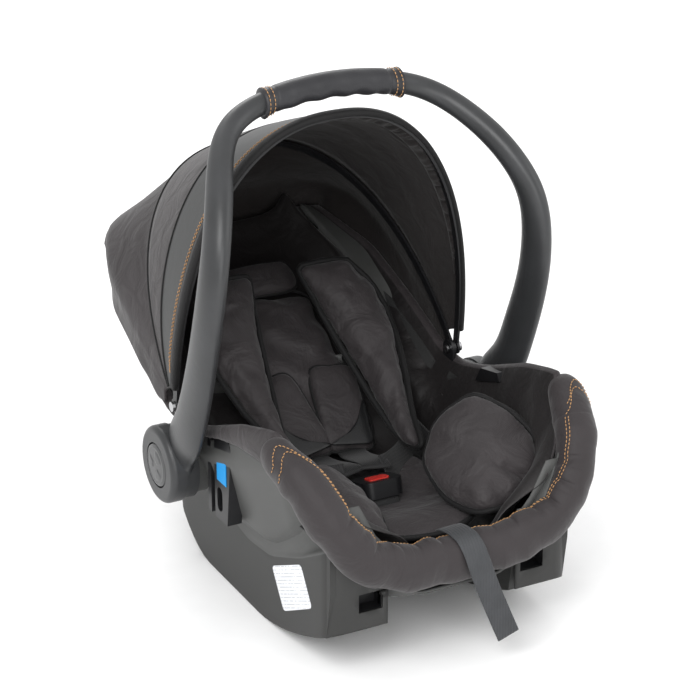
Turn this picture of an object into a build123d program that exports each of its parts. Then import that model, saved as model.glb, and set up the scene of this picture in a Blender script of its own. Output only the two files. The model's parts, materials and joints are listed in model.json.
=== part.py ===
"""Infant carrier seat: rocker-bottomed shell, padded cover and harness, pivoting carry
handle with push-in hub releases, and a folding canopy on two hoops.

Everything is drawn about the handle's pivot axis (X, through the middle of both hubs):
+X is the right side, -Y the foot end, +Y the head end, +Z up. write() moves it to the
seat's own frame, whose origin is on the ground under the middle of the footprint.
"""
import math
import os

from build123d import *

# ---- driving dimensions, millimetres ----
HUB_HEIGHT = 152.0      # handle pivot above the ground
HUB_SETBACK = 20.0      # handle pivot behind the middle of the footprint
HUB_FACE = 224.0        # outer face of a hub from the middle plane
HUB_RADIUS = 46.5
HUB_PIN_RADIUS = 8.0
RUNNING = 0.05          # radial clearance of a turning fit
GAP = 0.4               # clearance between pieces that do not touch

SHELL_WALL = 4.0
FOAM_INSET = 5.2        # from the outside of the shell to the foam liner
FOAM_THICK = 8.0
COVER_INSET = 14.2      # from the outside of the shell to the cloth cover
COVER_THICK = 6.0

# Shell stations from foot to head:
# (y, half width at rim, rim height, half width at floor, floor height, floor corner radius)
STATIONS = [
    (-318, 130, 62, 70, -58, 26),
    (-290, 164, 96, 80, -76, 30),
    (-240, 180, 112, 134, -84, 46),
    (-160, 185, 86, 148, -80, 46),
    (-60, 186, 50, 152, -78, 44),
    (-5, 186, 42, 151, -74, 42),
    (40, 186, 44, 150, -42, 38),
    (130, 184, 84, 146, 18, 32),
    (220, 176, 124, 134, 84, 18),
    (300, 142, 156, 110, 128, 10),
]
LIP_HEIGHT = -20.0      # top edge of the front wall in the middle
MOUTH_HALF_WIDTH = 150.0
LIFT = 14.0             # how far a hollowing cutter stands above the rim
LINED_TO = 258.0        # foam and cover stop here, short of the head end

SKIRT_HALF_WIDTH = 152.0
TUNNEL_HALF_WIDTH = 80.0
SKIRT_WALL = 4.0

BACK_ANGLE = 37.5       # backrest above the horizontal
BACK_Y, BACK_Z = -10.0, -57.0   # foot of the backrest surface
PAD_THICK = 14.0

CANOPY_Y, CANOPY_Z = 20.0, 60.0  # canopy pivot
CANOPY_HALF_WIDTH = 190.0
ARCH_POWER = 2.3        # exponent of the hoops' rounded outline
REAR_POWER = 7.0        # the same, where the canopy meets the squarer head end of the shell
FRONT_TILT = -7.2       # hoop angles back from the vertical, degrees
MID_TILT = 42.0
REAR_TILT = 71.0
FRONT_REACH = 341.0     # pivot to the top of each hoop
MID_REACH = 311.0
CLOTH = 2.5
HOOP_WIDTH = 10.0
HOOP_THICK = 3.0

BUTTON_RADIUS = 27.0
BUTTON_THICK = 9.0

nodes = {}


def box_at(x0, x1, y0, y1, z0, z1):
    """A box from its two corners."""
    return Pos((x0 + x1) / 2, (y0 + y1) / 2, (z0 + z1) / 2) * Box(x1 - x0, y1 - y0, z1 - z0)


def rod(radius, x0, x1, y=0.0, z=0.0):
    """A cylinder along X."""
    return Pos((x0 + x1) / 2, y, z) * Rot(0, 90, 0) * Cylinder(radius, abs(x1 - x0))


def side_slab(points, x0, x1):
    """A side-view outline of (y, z) points or edges, swept across from x0 to x1."""
    face = make_face(Polyline([(y, z) for y, z in points], close=True))
    plane = Plane(origin=(x0, 0, 0), x_dir=(0, 1, 0), z_dir=(1, 0, 0))
    return extrude(plane * face, x1 - x0)


def mirrored(solid):
    """The same shape on the other side of the middle plane."""
    return mirror(solid, about=Plane.YZ)


def both_sides(name, right):
    """Adds a right-hand piece and its mirror image."""
    nodes["right_" + name] = right
    nodes["left_" + name] = mirrored(right)


# ---- shell ----

def station_face(y, rim_w, rim_z, floor_w, floor_z, corner):
    outline = Polyline((-floor_w, floor_z), (floor_w, floor_z), (rim_w, rim_z), (-rim_w, rim_z), close=True)
    face = make_face(outline)
    low = face.vertices().sort_by(Axis.Y)[:2]
    face = fillet(low, corner)
    return Plane(origin=(0, y, 0), x_dir=(1, 0, 0), z_dir=(0, -1, 0)) * face


def tub(inset, lift=0.0):
    """The shell's outside moved inwards by inset, with its open top raised by lift."""
    faces = []
    last = len(STATIONS) - 1
    for i, (y, rim_w, rim_z, floor_w, floor_z, corner) in enumerate(STATIONS):
        at = y + inset if i == 0 else y - inset if i == last else y
        radius = max(3.0, corner - inset * 0.5)
        floor = floor_z + inset * (1.25 if y > 20 else 1.0)
        top = max(rim_z + lift, floor + radius + 3)
        flare = (rim_w - floor_w) / (rim_z - floor_z)
        rim = rim_w - inset + flare * (top - rim_z)
        faces.append(station_face(at, rim, top, floor_w - inset, floor, radius))
    return loft(faces, ruled=True)


def mouth():
    """The low front opening between the two shoulders, as a cutter."""
    plane = Plane(origin=(0, -236, 0), x_dir=(1, 0, 0), z_dir=(0, -1, 0))
    tall = 300.0
    middle = LIP_HEIGHT + tall / 2
    face = Pos(0, middle) * Rectangle(2 * MOUTH_HALF_WIDTH, tall)
    face = fillet(face.vertices().sort_by(Axis.Y)[:2], 100)
    return extrude(plane * face, 120)


def make_shell():
    hollow = tub(SHELL_WALL, LIFT)
    shell = tub(0) - hollow - mouth()
    for side in (-1, 1):
        shell -= rod(HUB_PIN_RADIUS + GAP, side * 150, side * 200)
    shell -= Pos(0, -312, -40) * Box(34, 40, 8)
    for side in (-1, 1):
        shell -= rod(14, side * 154, side * 163.5)
    for x in (-42, 42):
        for run in (120, 175):
            shell -= on_back(x, run, -20) * Box(40, 7, 60)
    nodes["seat_shell"] = shell

    foam = tub(FOAM_INSET, -6) - tub(FOAM_INSET + FOAM_THICK, LIFT)
    foam &= box_at(-200, 200, -46, LINED_TO, -120, 220)
    for side in (-1, 1):
        foam -= rod(14, side * 140, side * 200)
        foam -= box_at(min(side * 160, side * 200), max(side * 160, side * 200), 4, 38, -40, 90)
    for x in (-42, 42):
        for run in (120, 175):
            foam -= on_back(x, run, -20) * Box(44, 11, 60)
    nodes["foam_liner"] = foam


def on_back(x, run, height):
    """A place on the backrest: across, up the slope from its foot, and off the surface."""
    tilt = math.radians(BACK_ANGLE)
    plane = Plane(origin=(0, BACK_Y, BACK_Z), x_dir=(1, 0, 0), z_dir=(0, -math.sin(tilt), math.cos(tilt)))
    return plane.location * Pos(x, run, height)


# ---- rocker base ----

def rocker_outline(inset):
    """Side view of a runner: flat middle, a long front curve and a short steep rear one."""
    low = -HUB_HEIGHT + inset
    front = -300 + inset
    flat_front = Vector(-125, low)
    toe = Vector(front + 8, -101 + inset)
    front_curve = ThreePointArc(flat_front, (-212, -132 + inset), toe)
    face_line = Line(toe, (front, -46))
    top = Polyline((front, -46), (front, 8 - inset), (-234, -30), (-160, -62), (60, -40), (100 - inset, 0))
    rear_line = Line((100 - inset, 0), (97 - inset, -100))
    flat_rear = Vector(5, low)
    rear_curve = ThreePointArc((97 - inset, -100), (64 - inset * 0.5, -136 + inset * 0.8), flat_rear)
    floor = Line(flat_rear, flat_front)
    return make_face(Curve() + [front_curve, face_line, top, rear_line, rear_curve, floor])


# Rectangular slot through the front wall of each runner.
FOOT_SLOT_INNER = 89.0
FOOT_SLOT_OUTER = 119.0
FOOT_SLOT_LOW = -74.0
FOOT_SLOT_HIGH = -51.0


def make_base():
    across = Plane(origin=(-SKIRT_HALF_WIDTH, 0, 0), x_dir=(0, 1, 0), z_dir=(1, 0, 0))
    base = extrude(across * rocker_outline(0), 2 * SKIRT_HALF_WIDTH)
    base -= box_at(-TUNNEL_HALF_WIDTH, TUNNEL_HALF_WIDTH, -400, 200, -200, 100)
    for side in (-1, 1):
        near = TUNNEL_HALF_WIDTH + SKIRT_WALL if side > 0 else -SKIRT_HALF_WIDTH + SKIRT_WALL
        pocket = Plane(origin=(near, 0, 0), x_dir=(0, 1, 0), z_dir=(1, 0, 0)) * rocker_outline(SKIRT_WALL)
        base -= extrude(pocket, SKIRT_HALF_WIDTH - TUNNEL_HALF_WIDTH - 2 * SKIRT_WALL)
        inner = side * FOOT_SLOT_INNER
        outer = side * FOOT_SLOT_OUTER
        base -= box_at(min(inner, outer), max(inner, outer), -310, -288, FOOT_SLOT_LOW, FOOT_SLOT_HIGH)
    for y in (-210, -90, 40):
        base += box_at(-TUNNEL_HALF_WIDTH, TUNNEL_HALF_WIDTH, y, y + 5, -128 if y > -150 else -112, -88)
    base -= tub(-GAP)
    nodes["rocker_base"] = keep_largest(base - nodes["cover_roll"])

    screws = []
    for x in (-104, 104):
        for y in (-170, -20):
            screw = Pos(x, y, -92) * Cylinder(2.4, 16) + Pos(x, y, -101.5) * Cylinder(5, 3)
            screws.append(screw)
    nodes["base_screws"] = Compound(children=screws)


# ---- hubs and handle ----

# Right half of the handle's centreline from hub to top: (x, y, z, half thickness, half width).
HANDLE = [
    (201, -37, -12, 7, 3),
    (202.5, -31, 8, 10.5, 16),
    (205.5, -35, 34, 11, 27),
    (209.5, -59, 62, 11.5, 30),
    (210.5, -88, 115, 12, 29),
    (210.5, -113, 182, 12.5, 27),
    (207, -128, 251, 13.5, 25),
    (197, -124, 311, 14, 21.5),
    (181, -98, 351, 14, 18),
    (158, -56, 384, 13.5, 15),
    (128, -24, 407, 13, 13.5),
    (88, -13, 422, 12.5, 12.5),
    (44, -10, 429, 12.5, 12.5),
    (0, -9, 431, 12.5, 12.5),
]
SLEEVE_END = 88.0


def ring_face(rows, i, grow):
    """Elliptical section number i of the handle, square to its centreline."""
    here = Vector(*rows[i][:3])
    before = Vector(*rows[max(i - 1, 0)][:3])
    after = Vector(*rows[min(i + 1, len(rows) - 1)][:3])
    along = Vector(-1, 0, 0) if i == len(rows) - 1 else (after - before).normalized()
    wide = (Vector(0, 1, 0) - along * along.Y).normalized()
    plane = Plane(origin=here, x_dir=wide, z_dir=along)
    return plane * Ellipse(rows[i][4] + grow, rows[i][3] + grow)


def handle_half(rows, grow=0.0):
    return loft([ring_face(rows, i, grow) for i in range(len(rows))])


# Inner face of a fully pressed release button, with a little room under it.
PRESSED_BUTTON_FACE = 211.5


def make_handle():
    arm = handle_half(HANDLE)
    arm -= rod(BUTTON_RADIUS + GAP, PRESSED_BUTTON_FACE, HUB_FACE + 10)
    disc = rod(HUB_RADIUS - 2, 188.5, 204) - rod(HUB_PIN_RADIUS + RUNNING, 180, 210)
    right = arm + disc
    nodes["handle_bar"] = right + mirrored(right)

    cap = rod(HUB_RADIUS, 204.3, HUB_FACE)
    rim = cap.faces().sort_by(Axis.X)[-1].edges()
    cap = fillet(rim, 7)
    cap -= rod(BUTTON_RADIUS + GAP, 209, HUB_FACE + 10)
    cap -= rod(HUB_PIN_RADIUS + 2.0, 200, 215)
    cap -= arm
    both_sides("hub_cap", keep_largest(cap))

    sleeve_rows = [r for r in HANDLE if r[0] <= SLEEVE_END]
    sleeve = handle_half(sleeve_rows, 3.0)
    nodes["grip_sleeve"] = sleeve + mirrored(sleeve) - nodes["handle_bar"]

    button = rod(BUTTON_RADIUS, 217, 217 + BUTTON_THICK)
    dome_edge = button.faces().sort_by(Axis.X)[-1].edges()
    both_sides("release_button", fillet(dome_edge, 2.5))
    spring = rod(13, 209.5, 216.5) - rod(11, 205, 220)
    both_sides("release_spring", spring)

    pin = rod(HUB_PIN_RADIUS, 160, 207)
    pin += rod(12, 157, 161)
    both_sides("hub_pin", pin)
    boss = rod(HUB_RADIUS - 6, 172, 187.5) - rod(HUB_PIN_RADIUS, 150, 190) - tub(-GAP / 2)
    both_sides("hub_base", keep_largest(boss))


def keep_largest(part):
    """Drops any loose sliver that a cut leaves behind."""
    solids = part.solids()
    return max(solids, key=lambda s: s.volume)


# ---- canopy ----

def canopy_plane(tilt):
    """A plane through the canopy pivot, leaning back by tilt: local x across, local y away."""
    lean = math.radians(tilt)
    away = Vector(0, math.sin(lean), math.cos(lean))
    return Plane(origin=(0, CANOPY_Y, CANOPY_Z), x_dir=(1, 0, 0), z_dir=Vector(1, 0, 0).cross(away))


def arch_point(half_width, reach, power, angle):
    x = half_width * math.copysign(abs(math.cos(angle)) ** (2 / power), math.cos(angle))
    return (x, reach * math.sin(angle) ** (2 / power))


def arch_face(half_width, reach, tilt, foot=4.0, power=ARCH_POWER, count=17):
    """The area under a rounded arch, standing foot above the pivot."""
    first = math.asin((foot / reach) ** (power / 2))
    spread = [first + (math.pi - 2 * first) * i / (count - 1) for i in range(count)]
    points = [arch_point(half_width, reach, power, a) for a in spread]
    curve = Spline(points)
    face = make_face(Curve() + [curve, Line(points[-1], points[0])])
    return canopy_plane(tilt) * face


def arch_strip(half_width, reach, tilt, thick, width):
    """A flat hoop: an arch of the given outside size, centred on its plane."""
    outside = extrude(arch_face(half_width, reach, tilt), width / 2, both=True)
    inside = extrude(arch_face(half_width - thick, reach - thick, tilt, 2.0), width, both=True)
    return outside - inside


def cloth_panel(first, second, foot, power):
    """Cloth from one hoop to the next; each end is (half width, reach, tilt)."""
    (wide_a, reach_a, tilt_a), (wide_b, reach_b, tilt_b) = first, second
    outside = loft([arch_face(wide_a, reach_a, tilt_a, foot),
                    arch_face(wide_b, reach_b, tilt_b, foot, power)], ruled=True)
    inside = loft([arch_face(wide_a - CLOTH, reach_a - CLOTH, tilt_a - 0.3, foot - 3),
                   arch_face(wide_b - CLOTH, reach_b - CLOTH, tilt_b + 0.3, foot - 3, power)], ruled=True)
    return outside - inside


def make_canopy():
    front = arch_strip(CANOPY_HALF_WIDTH, FRONT_REACH, FRONT_TILT, HOOP_THICK, HOOP_WIDTH)
    mid = arch_strip(CANOPY_HALF_WIDTH - 5, MID_REACH, MID_TILT, HOOP_THICK, HOOP_WIDTH)
    for side in (-1, 1):
        outer = rod(9, side * (CANOPY_HALF_WIDTH - HOOP_THICK), side * CANOPY_HALF_WIDTH, CANOPY_Y, CANOPY_Z)
        inner = rod(9, side * (CANOPY_HALF_WIDTH - 5 - HOOP_THICK), side * (CANOPY_HALF_WIDTH - 5),
                    CANOPY_Y, CANOPY_Z)
        bore = rod(3 + RUNNING, side * 170, side * 200, CANOPY_Y, CANOPY_Z)
        front = front + outer - bore
        mid = mid + inner - bore
    nodes["canopy_front_hoop"] = front
    nodes["canopy_mid_hoop"] = mid

    bracket = box_at(177.6, 181.4, 8, 32, 44.6, 60) + rod(12, 177.6, 181.4, CANOPY_Y, CANOPY_Z)
    bracket += box_at(177.6, 186, 8, 32, 44.6, 47.4)
    bracket -= rod(3 + RUNNING, 170, 190, CANOPY_Y, CANOPY_Z)
    both_sides("canopy_bracket", bracket)
    pin = rod(3, 175.5, 194.5, CANOPY_Y, CANOPY_Z) + rod(6, 190.6, 194.5, CANOPY_Y, CANOPY_Z)
    pin += rod(5, 174, 176.8, CANOPY_Y, CANOPY_Z)
    both_sides("canopy_pin", pin)

    over_mid = (CANOPY_HALF_WIDTH - 1, MID_REACH + 6)
    nodes["canopy_front_panel"] = cloth_panel(
        (CANOPY_HALF_WIDTH + 3.8, FRONT_REACH + 3.8, FRONT_TILT + 1.2), (*over_mid, MID_TILT - 1.2), 30, ARCH_POWER)
    nodes["canopy_rear_panel"] = cloth_panel(
        (*over_mid, MID_TILT + 1.2), (CANOPY_HALF_WIDTH, MID_REACH - 2, REAR_TILT), 40, REAR_POWER)


# ---- cover and insert ----

# Right half of the roll's centreline from shoulder to middle: (x, y, z, half depth, half height).
ROLL = [
    (181, -222, 101, 12, 16),
    (179, -246, 97, 20, 22),
    (168, -284, 76, 23, 25),
    (152, -308, 44, 23, 26),
    (130, -319, 12, 22, 26),
    (98, -322, -12, 21, 26),
    (50, -319, -23, 21, 27),
    (0, -317, -26, 21, 27),
]


def make_roll():
    """The padded roll round the shell's front rim, as upright ovals along a U."""
    faces = []
    rows = ROLL + [(-x, y, z, a, b) for x, y, z, a, b in reversed(ROLL[:-1])]
    for i, (x, y, z, deep, tall) in enumerate(rows):
        before = rows[max(i - 1, 0)]
        after = rows[min(i + 1, len(rows) - 1)]
        along = Vector(after[0] - before[0], after[1] - before[1], after[2] - before[2]).normalized()
        turn = math.radians(90) * min(1.0, max(0.0, (abs(x) - 90) / 90))
        inward = Vector(-math.copysign(math.sin(turn), x), math.cos(turn), 0)
        inward = inward - along * inward.dot(along)
        plane = Plane(origin=(x, y, z), x_dir=inward.normalized(), z_dir=along)
        faces.append(plane * Ellipse(deep, tall))
    roll = loft(faces)
    nodes["cover_roll"] = keep_largest(roll - (tub(-1.5) - tub(SHELL_WALL + 1.5, LIFT)))


# Side view of the cloth flap that hangs outside the shell ahead of the belt guide.
FLAP = [(-176, 48), (-176, 92), (-128, 78), (-128, 60)]


def make_cover():
    lining = tub(COVER_INSET, -2) - tub(COVER_INSET + COVER_THICK, LIFT) - mouth()
    lining &= box_at(-200, 200, -300, LINED_TO, -120, 220)
    lining -= nodes["cover_roll"]
    lining -= box_at(-24, 24, -270, -236, -80, -30)
    for side in (-1, 1):
        lining -= rod(16, side * 140, side * 200)
    nodes["seat_cover"] = keep_largest(lining)
    foam = nodes["foam_liner"] - nodes["seat_shell"] - nodes["seat_cover"]
    nodes["foam_liner"] = keep_largest(foam)
    both_sides("cover_flap", side_slab(FLAP, 187.4, 190.4))


def cushion(x, run, height, wide, long, thick, turn=0.0, radius=6.0):
    """A soft-cornered block lying on the backrest."""
    block = fillet(Box(wide, long, thick).edges().filter_by(Axis.Z), min(wide, long) * 0.3)
    block = fillet(block.faces().sort_by(Axis.Z)[-1].edges(), min(radius, thick * 0.45))
    return on_back(x, run, height + thick / 2) * Rot(0, 0, turn) * block


def make_insert():
    nodes["body_pad"] = cushion(0, 139, 1.6, 130, 226, PAD_THICK)
    nodes["seat_pad"] = Pos(0, -84, -47.5) * fillet(Box(200, 128, 12).edges().filter_by(Axis.Z), 30)
    nodes["pillow_tab"] = cushion(0, 278, 2, 96, 34, 16)
    both_sides("side_bolster", cushion(95, 132, 2.6, 42, 208, 38, 3, 18))
    hip = Pos(106, -195, 10) * Rot(0, 36, 0) * fillet(
        Box(26, 116, 92).edges().filter_by(Axis.X), 40)
    both_sides("hip_bolster", hip)
    nodes["crotch_pad"] = Pos(0, -174, -44) * Rot(14, 0, 0) * fillet(Box(62, 40, 12).edges().filter_by(Axis.Z), 12)


# ---- harness ----

STRAP_WIDE = 36.0
STRAP_THICK = 1.8
PAD_BASE = PAD_THICK + 3.4


def make_harness():
    strap = on_back(34, 74, PAD_BASE - 0.9) * Box(STRAP_WIDE, 128, STRAP_THICK)
    both_sides("shoulder_strap", strap)
    pad = cushion(34, 84, PAD_BASE + 0.5, 56, 92, 12, -3)
    both_sides("shoulder_pad", pad)
    lap = Pos(66, -66, -32) * Rot(0, 0, 38) * Rot(0, -8, 0) * Box(64, 30, STRAP_THICK)
    both_sides("lap_strap", lap)
    nodes["crotch_strap"] = Pos(0, -151.5, -48) * Rot(90, 0, 0) * Box(STRAP_WIDE, 20, STRAP_THICK)

    place = Pos(0, -126, -24) * Rot(-16, 0, 0)
    housing = fillet(Box(52, 44, 20).edges().filter_by(Axis.Z), 12)
    housing -= Pos(0, -2, 6) * Box(26.8, 18.8, 20)
    housing -= Pos(0, 18, 0) * Box(46, 22, 5)
    nodes["buckle_housing"] = place * housing
    button = fillet(Box(26, 18, 8).edges().filter_by(Axis.Z), 4)
    nodes["buckle_button"] = place * Pos(0, -2, 7.4) * button
    nodes["buckle_spring"] = place * Pos(0, -2, -0.4) * (Cylinder(4, 6.6) - Cylinder(3, 10))
    tongue = Pos(12.5, 18, 0) * Box(19, 20, 3)
    tongue += Pos(17, 32, 0) * (Box(34, 12, 3) - Box(26, 4, 10))
    nodes["right_buckle_tongue"] = place * tongue
    nodes["left_buckle_tongue"] = mirrored(nodes["right_buckle_tongue"])

    nodes["yoke_plate"] = on_back(0, 96, -36) * (Box(96, 18, 2.5) - Pos(34, 0, 0) * Box(26, 5, 6)
                                              - Pos(-34, 0, 0) * Box(26, 5, 6))


# ---- harness adjuster in the front lip ----

def make_adjuster():
    housing = box_at(-21, 21, -262, -240, -66, -46)
    housing -= box_at(-16, 16, -270, -230, -61, -41)
    housing -= rod(2.0, -30, 30, -251, -54)
    nodes["adjuster_housing"] = housing
    nodes["adjuster_pin"] = rod(2.0, -20.9, 20.9, -251, -54)
    lever = box_at(-15.5, 15.5, -262, -244, -58, -50) - box_at(-14, 14, -240, -230, -60, -40)
    lever += rod(4.5, -15.5, 15.5, -251, -54)
    lever -= rod(2.0 + RUNNING, -30, 30, -251, -54)
    nodes["adjuster_lever"] = lever


# Middle line of the adjuster webbing: over the roll, then hanging and leaning to the right.
STRAP_PATH = [(0, -292, -0.5), (1, -316, 3.5), (4, -335, -3.5), (8, -344, -22), (45, -351, -121)]
STRAP_WIDE = 27.0
STRAP_THICK = 1.8


def make_adjuster_strap():
    """Webbing that comes out over the front roll and hangs down in front of it."""
    points = [Vector(*p) for p in STRAP_PATH]
    faces = []
    for i, here in enumerate(points):
        before = points[max(i - 1, 0)]
        after = points[min(i + 1, len(points) - 1)]
        along = (after - before).normalized()
        across = (Vector(1, 0, 0) - along * along.X).normalized()
        faces.append(Plane(origin=here, x_dir=across, z_dir=along) * Rectangle(STRAP_WIDE, STRAP_THICK))
    nodes["adjuster_strap"] = loft(faces, ruled=True)


def make_guides():
    """Seat-belt guides on the shell's flanks, with their coloured markers."""
    plate = side_slab([(-62, -38), (-62, 50), (-74, 72), (-112, 80), (-124, 60), (-112, -38)], 168, 186)
    plate -= side_slab([(-70, -60), (-70, 60), (-80, 60), (-80, -60)], 176, 190)
    slot = Plane(origin=(160, -93, -12), x_dir=(0, 1, 0), z_dir=(1, 0, 0)) * SlotOverall(30, 14, 90)
    plate -= extrude(slot, 40)
    plate -= tub(-GAP / 2)
    both_sides("belt_guide", keep_largest(plate))
    marker = box_at(186.1, 186.9, -112, -88, 12, 40)
    both_sides("belt_marker", marker)
    corners = [(-163, -72), (-235, -36), (-262, -78), (-192, -116)]
    label = side_slab(corners, SKIRT_HALF_WIDTH + 0.05, SKIRT_HALF_WIDTH + 0.35)
    nodes["left_label"] = mirrored(label)


def write():
    """Moves each piece to the seat's own frame and writes it."""
    os.makedirs("parts", exist_ok=True)
    for name, piece in nodes.items():
        moved = Pos(0, HUB_SETBACK, HUB_HEIGHT) * piece
        export_step(moved, f"parts/{name}.step")


make_shell()
make_roll()
make_base()
make_handle()
make_canopy()
make_cover()
make_insert()
make_harness()
make_adjuster()
make_adjuster_strap()
make_guides()
write()
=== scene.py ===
"""Looks of the infant car seat: soft goods, plastics, stitching, studio and camera.

Places are in millimetres about the handle's pivot axis (x right, y towards the head end,
z up), as in the design, and at() turns them into the frame's metres.
"""
import json
import math

import bpy
import bmesh
import numpy as np
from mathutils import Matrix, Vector, noise


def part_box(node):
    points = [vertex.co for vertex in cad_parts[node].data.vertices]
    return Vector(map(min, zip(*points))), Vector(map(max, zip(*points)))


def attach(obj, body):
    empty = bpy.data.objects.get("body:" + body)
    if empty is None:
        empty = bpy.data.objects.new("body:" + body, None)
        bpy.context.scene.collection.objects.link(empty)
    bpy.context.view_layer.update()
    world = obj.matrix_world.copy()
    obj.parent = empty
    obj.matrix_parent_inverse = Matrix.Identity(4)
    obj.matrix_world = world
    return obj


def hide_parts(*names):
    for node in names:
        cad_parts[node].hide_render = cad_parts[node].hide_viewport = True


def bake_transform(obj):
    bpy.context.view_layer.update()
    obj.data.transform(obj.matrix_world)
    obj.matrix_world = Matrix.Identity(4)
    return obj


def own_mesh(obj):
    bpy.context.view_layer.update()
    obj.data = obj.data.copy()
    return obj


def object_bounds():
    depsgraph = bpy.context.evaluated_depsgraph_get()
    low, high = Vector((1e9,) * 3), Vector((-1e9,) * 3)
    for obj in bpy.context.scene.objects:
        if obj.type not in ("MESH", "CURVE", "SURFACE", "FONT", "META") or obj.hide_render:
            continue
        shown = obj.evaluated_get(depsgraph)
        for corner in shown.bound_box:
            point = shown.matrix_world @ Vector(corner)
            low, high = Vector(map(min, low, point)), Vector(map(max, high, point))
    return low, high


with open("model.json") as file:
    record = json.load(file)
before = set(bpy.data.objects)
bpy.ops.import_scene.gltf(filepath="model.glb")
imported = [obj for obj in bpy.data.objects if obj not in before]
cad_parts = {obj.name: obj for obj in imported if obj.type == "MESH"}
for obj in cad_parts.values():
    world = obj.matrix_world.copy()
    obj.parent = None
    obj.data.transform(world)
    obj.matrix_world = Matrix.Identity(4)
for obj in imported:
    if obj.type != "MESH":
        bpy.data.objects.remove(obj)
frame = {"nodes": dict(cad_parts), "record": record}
cad_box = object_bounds()

JOINTS = {joint["name"]: joint for joint in frame["record"]["behaviour"]["joints"]}
PIVOT = Vector(JOINTS["handle_swing"]["pos_m"])
MM = 0.001
SIDES = ((1, "right"), (-1, "left"))

# ---- camera: the viewing angle of a standing adult, front left, slightly above ----
VIEW_AZIMUTH = math.radians(-27.8)
VIEW_ELEVATION = math.radians(23.3)
VIEW_DISTANCE = 2.7904
LENS = 123.43
LOOK_AT = (-0.9, -60.0, 123.9)


def at(x, y, z):
    """A place about the handle pivot, in mm, as a point of the frame."""
    return Vector((PIVOT.x + x * MM, PIVOT.y + y * MM, PIVOT.z + z * MM))


def lerp(a, b, t):
    return a + (b - a) * t


def smooth(t):
    t = min(1.0, max(0.0, t))
    return t * t * (3 - 2 * t)


def make_camera():
    back = Vector((math.sin(VIEW_AZIMUTH) * math.cos(VIEW_ELEVATION),
                   -math.cos(VIEW_AZIMUTH) * math.cos(VIEW_ELEVATION), math.sin(VIEW_ELEVATION)))
    data = bpy.data.cameras.new("camera")
    data.lens = LENS
    data.sensor_width = 36
    camera = bpy.data.objects.new("camera", data)
    camera.location = at(*LOOK_AT) + back * VIEW_DISTANCE
    camera.rotation_euler = (-back).to_track_quat("-Z", "Y").to_euler()
    bpy.context.scene.collection.objects.link(camera)
    bpy.context.scene.camera = camera


make_camera()

# ---- materials ----


def node_of(tree, kind, **values):
    node = tree.nodes.new(kind)
    for key, value in values.items():
        if key in node.inputs:
            node.inputs[key].default_value = value
        else:
            setattr(node, key, value)
    return node


def material(name, dark, light, rough, mottle=14.0, sheen=0.0, coat=0.0, specular=0.5):
    """A shader whose colour drifts between two tones, and its tree, shader and coordinates."""
    made = bpy.data.materials.new(name)
    made.use_nodes = True
    tree = made.node_tree
    shader = tree.nodes["Principled BSDF"]
    shader.inputs["Specular IOR Level"].default_value = specular
    shader.inputs["Sheen Weight"].default_value = sheen
    shader.inputs["Sheen Roughness"].default_value = 0.45
    shader.inputs["Coat Weight"].default_value = coat
    place = node_of(tree, "ShaderNodeTexCoord").outputs["Object"]
    cloud = noise_of(tree, place, Scale=mottle, Detail=4.0, Roughness=0.6)
    ramp = node_of(tree, "ShaderNodeValToRGB")
    ramp.color_ramp.elements[0].position = 0.3
    ramp.color_ramp.elements[1].position = 0.7
    ramp.color_ramp.elements[0].color = (*dark, 1)
    ramp.color_ramp.elements[1].color = (*light, 1)
    tree.links.new(cloud, ramp.inputs["Fac"])
    tree.links.new(ramp.outputs["Color"], shader.inputs["Base Color"])
    span = node_of(tree, "ShaderNodeMapRange")
    span.inputs["To Min"].default_value = rough - 0.05
    span.inputs["To Max"].default_value = rough + 0.06
    tree.links.new(cloud, span.inputs["Value"])
    tree.links.new(span.outputs["Result"], shader.inputs["Roughness"])
    return made, tree, shader, place


def noise_of(tree, place, **values):
    """A noise texture read at the given coordinates; returns how strong it is there."""
    grain = node_of(tree, "ShaderNodeTexNoise", **values)
    tree.links.new(place, grain.inputs["Vector"])
    return grain.outputs["Fac"]


def maths(tree, operation, *terms):
    """A math node; each term is a number or the output of another node."""
    made = node_of(tree, "ShaderNodeMath", operation=operation)
    for slot, term in enumerate(terms):
        if isinstance(term, float):
            made.inputs[slot].default_value = term
        else:
            tree.links.new(term, made.inputs[slot])
    return made.outputs["Value"]


def add_bump(tree, shader, height, strength, distance, after=None):
    bump = node_of(tree, "ShaderNodeBump", Strength=strength, Distance=distance)
    tree.links.new(height, bump.inputs["Height"])
    if after is not None:
        tree.links.new(after, bump.inputs["Normal"])
    tree.links.new(bump.outputs["Normal"], shader.inputs["Normal"])
    return bump.outputs["Normal"]


def plastic(name, dark, light, rough=0.42, grain=0.12, specular=0.45):
    made, tree, shader, place = material(name, dark, light, rough, mottle=22, specular=specular)
    add_bump(tree, shader, noise_of(tree, place, Scale=1500.0, Detail=2.0), grain, 0.0004)
    return made


def cloth(name, dark, light, rough=0.8, sheen=0.25, weave=0.35, crumple=0.25, specular=0.25):
    """Woven cloth: a fine diagonal twill, thread noise and soft crumples."""
    made, tree, shader, place = material(name, dark, light, rough, mottle=10, sheen=sheen, specular=specular)
    turn = node_of(tree, "ShaderNodeMapping")
    turn.inputs["Rotation"].default_value = (0.6, 0.5, 0.78)
    tree.links.new(place, turn.inputs["Vector"])
    twill = node_of(tree, "ShaderNodeTexWave", Scale=260.0, Distortion=1.2, Detail=1.0)
    tree.links.new(turn.outputs["Vector"], twill.inputs["Vector"])
    thread = noise_of(tree, place, Scale=1100.0, Detail=2.0)
    soft = noise_of(tree, place, Scale=26.0, Detail=4.0, Roughness=0.5, Distortion=0.8)
    first = add_bump(tree, shader, soft, crumple, 0.010)
    second = add_bump(tree, shader, twill.outputs["Fac"], weave * 0.5, 0.0004, first)
    add_bump(tree, shader, thread, weave, 0.0005, second)
    return made


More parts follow.
